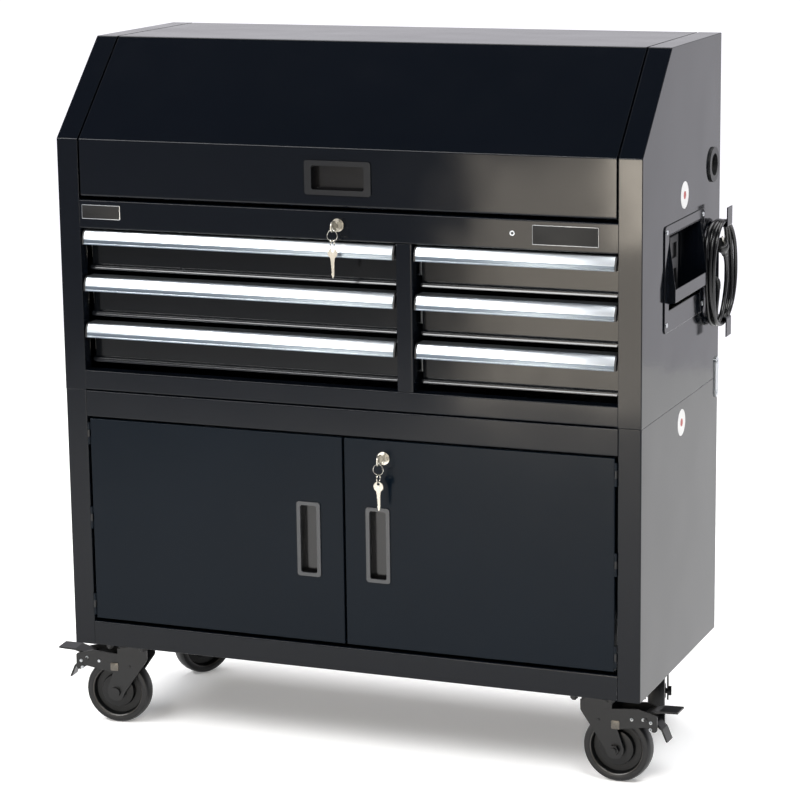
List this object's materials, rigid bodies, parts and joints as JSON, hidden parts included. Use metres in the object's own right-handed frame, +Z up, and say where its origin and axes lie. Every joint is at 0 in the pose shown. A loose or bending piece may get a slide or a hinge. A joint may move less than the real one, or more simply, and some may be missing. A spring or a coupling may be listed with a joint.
{
  "type": "rolling tool chest",
  "caption": "Rolling tool chest: drawers under a sloped lid, on a two-door cabinet with swivel casters, side pocket and wound power cord.",
  "frame": {"origin": "middle of the footprint, on the floor under the wheels", "axes": "+X to the user's right along the longest side of the front, +Y to the rear, +Z up"},
  "size_m": [1.1496, 0.5149, 1.214],
  "materials": {
    "black_paint": "gloss",
    "handle_aluminium": "satin anodised",
    "tyre_rubber": "matt",
    "caster_steel": "satin",
    "zinc_steel": "zinc plated",
    "key_brass": "nickel plated",
    "black_plastic": "moulded",
    "cord_rubber": "satin",
    "strut_chrome": "polished"
  },
  "bodies": {
    "cabinet": {"lower_right_side": "black_paint", "lower_left_side": "black_paint", "front_rails": "black_paint", "back_panels": "black_paint", "lower_floor": "black_paint", "cabinet_shelf": "black_paint", "upper_right_side": "black_paint", "upper_left_side": "black_paint", "upper_floors": "black_paint", "drawer_divider": "black_paint", "inner_supports": "black_paint", "side_hardware": "zinc_steel", "pocket_frame": "black_paint", "side_pocket": "black_paint", "power_strip": "black_plastic", "bushings": "black_plastic", "cord_hooks": "black_paint", "cord_coil": "cord_rubber", "cord_lead": "cord_rubber", "cord_tail": "cord_rubber", "cord_plug": "cord_rubber", "slide_channels": "zinc_steel", "hinge_leaves": "black_paint", "lock_barrel_drawer": "zinc_steel", "caster_plates": "zinc_steel"},
    "lid": {"lid": "black_paint", "lid_pull": "black_plastic"},
    "strut_cylinder_left": {"strut_cylinder_left": "black_paint"},
    "strut_rod_left": {"strut_rod_left": "strut_chrome"},
    "strut_cylinder_right": {"strut_cylinder_right": "black_paint"},
    "strut_rod_right": {"strut_rod_right": "strut_chrome"},
    "drawer_left_top": {"drawer_left_top": "black_paint", "handle_drawer_left_top": "handle_aluminium"},
    "drawer_left_middle": {"drawer_left_middle": "black_paint", "handle_drawer_left_middle": "handle_aluminium"},
    "drawer_left_bottom": {"drawer_left_bottom": "black_paint", "handle_drawer_left_bottom": "handle_aluminium"},
    "drawer_right_top": {"drawer_right_top": "black_paint", "handle_drawer_right_top": "handle_aluminium"},
    "drawer_right_middle": {"drawer_right_middle": "black_paint", "handle_drawer_right_middle": "handle_aluminium"},
    "drawer_right_bottom": {"drawer_right_bottom": "black_paint", "handle_drawer_right_bottom": "handle_aluminium"},
    "door_left": {"door_left": "black_paint", "door_pull_left": "black_plastic"},
    "door_right": {"door_right": "black_paint", "door_pull_right": "black_plastic", "lock_barrel_door": "zinc_steel"},
    "drawer_key": {"drawer_key": "key_brass"},
    "door_key": {"door_key": "key_brass"},
    "fork_front_left": {"fork_front_left": "caster_steel"},
    "wheel_front_left": {"wheel_front_left": "tyre_rubber"},
    "pedal_front_left": {"pedal_front_left": "caster_steel"},
    "fork_front_right": {"fork_front_right": "caster_steel"},
    "wheel_front_right": {"wheel_front_right": "tyre_rubber"},
    "pedal_front_right": {"pedal_front_right": "caster_steel"},
    "fork_rear_left": {"fork_rear_left": "caster_steel"},
    "wheel_rear_left": {"wheel_rear_left": "tyre_rubber"},
    "fork_rear_right": {"fork_rear_right": "caster_steel"},
    "wheel_rear_right": {"wheel_rear_right": "tyre_rubber"}
  },
  "joints": [
    {"name": "lid_hinge", "type": "hinge", "parent": "cabinet", "child": "lid", "pos_m": [0.00026, 0.2415, 1.209], "axis": [-1, 0, 0], "range_deg": [0, 65]},
    {"name": "strut_swing_left", "type": "hinge", "parent": "cabinet", "child": "strut_cylinder_left", "pos_m": [-0.45874, 0.151, 0.989], "axis": [-1, 0, 0], "range_deg": [0, 2.22]},
    {"name": "strut_slide_left", "type": "slide", "parent": "strut_cylinder_left", "child": "strut_rod_left", "axis": [0, 0.1373, 0.9905], "range_m": [0, 0.0707]},
    {"name": "strut_swing_right", "type": "hinge", "parent": "cabinet", "child": "strut_cylinder_right", "pos_m": [0.45926, 0.151, 0.989], "axis": [-1, 0, 0], "range_deg": [0, 2.22]},
    {"name": "strut_slide_right", "type": "slide", "parent": "strut_cylinder_right", "child": "strut_rod_right", "axis": [0, 0.1373, 0.9905], "range_m": [0, 0.0707]},
    {"name": "drawer_left_top_slide", "type": "slide", "parent": "cabinet", "child": "drawer_left_top", "axis": [0, -1, 0], "range_m": [0, 0.34]},
    {"name": "drawer_left_middle_slide", "type": "slide", "parent": "cabinet", "child": "drawer_left_middle", "axis": [0, -1, 0], "range_m": [0, 0.34]},
    {"name": "drawer_left_bottom_slide", "type": "slide", "parent": "cabinet", "child": "drawer_left_bottom", "axis": [0, -1, 0], "range_m": [0, 0.34]},
    {"name": "drawer_right_top_slide", "type": "slide", "parent": "cabinet", "child": "drawer_right_top", "axis": [0, -1, 0], "range_m": [0, 0.34]},
    {"name": "drawer_right_middle_slide", "type": "slide", "parent": "cabinet", "child": "drawer_right_middle", "axis": [0, -1, 0], "range_m": [0, 0.34]},
    {"name": "drawer_right_bottom_slide", "type": "slide", "parent": "cabinet", "child": "drawer_right_bottom", "axis": [0, -1, 0], "range_m": [0, 0.34]},
    {"name": "door_left_hinge", "type": "hinge", "parent": "cabinet", "child": "door_left", "pos_m": [-0.47824, -0.2156, 0.387], "axis": [0, 0, -1], "range_deg": [0, 110]},
    {"name": "door_right_hinge", "type": "hinge", "parent": "cabinet", "child": "door_right", "pos_m": [0.47876, -0.2156, 0.387], "axis": [0, 0, 1], "range_deg": [0, 110]},
    {"name": "drawer_key_turn", "type": "hinge", "parent": "cabinet", "child": "drawer_key", "pos_m": [-0.00124, -0.215, 0.926], "axis": [0, 1, 0], "range_deg": [0, 90]},
    {"name": "door_key_turn", "type": "hinge", "parent": "door_right", "child": "door_key", "pos_m": [0.07426, -0.215, 0.537], "axis": [0, 1, 0], "range_deg": [0, 90]},
    {"name": "swivel_front_left", "type": "hinge", "parent": "cabinet", "child": "fork_front_left", "pos_m": [-0.43174, -0.153, 0.149], "axis": [0, 0, 1], "continuous": true},
    {"name": "spin_front_left", "type": "hinge", "parent": "fork_front_left", "child": "wheel_front_left", "pos_m": [-0.46556, -0.15655, 0.059], "axis": [0.1045, -0.9945, 0], "continuous": true},
    {"name": "brake_front_left", "type": "hinge", "parent": "fork_front_left", "child": "pedal_front_left", "pos_m": [-0.51926, -0.1622, 0.117], "axis": [0.1045, -0.9945, 0], "range_deg": [0, 12]},
    {"name": "swivel_front_right", "type": "hinge", "parent": "cabinet", "child": "fork_front_right", "pos_m": [0.43226, -0.153, 0.149], "axis": [0, 0, 1], "continuous": true},
    {"name": "spin_front_right", "type": "hinge", "parent": "fork_front_right", "child": "wheel_front_right", "pos_m": [0.46624, -0.15419, 0.059], "axis": [0.0349, 0.9994, 0], "continuous": true},
    {"name": "brake_front_right", "type": "hinge", "parent": "fork_front_right", "child": "pedal_front_right", "pos_m": [0.5202, -0.15607, 0.117], "axis": [0.0349, 0.9994, 0], "range_deg": [0, 12]},
    {"name": "swivel_rear_left", "type": "hinge", "parent": "cabinet", "child": "fork_rear_left", "pos_m": [-0.43174, 0.183, 0.149], "axis": [0, 0, 1], "continuous": true},
    {"name": "spin_rear_left", "type": "hinge", "parent": "fork_rear_left", "child": "wheel_rear_left", "pos_m": [-0.44976, 0.15417, 0.059], "axis": [0.848, -0.5299, 0], "continuous": true},
    {"name": "swivel_rear_right", "type": "hinge", "parent": "cabinet", "child": "fork_rear_right", "pos_m": [0.43226, 0.183, 0.149], "axis": [0, 0, 1], "continuous": true},
    {"name": "spin_rear_right", "type": "hinge", "parent": "fork_rear_right", "child": "wheel_rear_right", "pos_m": [0.44163, 0.15032, 0.059], "axis": [0.9613, 0.2756, 0], "continuous": true}
  ],
  "couplings": [
    {"joint": "strut_swing_left", "follows": "lid_hinge", "ratio": 0.033497},
    {"joint": "strut_slide_left", "follows": "lid_hinge", "m_per_rad": 0.061099},
    {"joint": "strut_swing_right", "follows": "lid_hinge", "ratio": 0.033497},
    {"joint": "strut_slide_right", "follows": "lid_hinge", "m_per_rad": 0.061099}
  ]
}
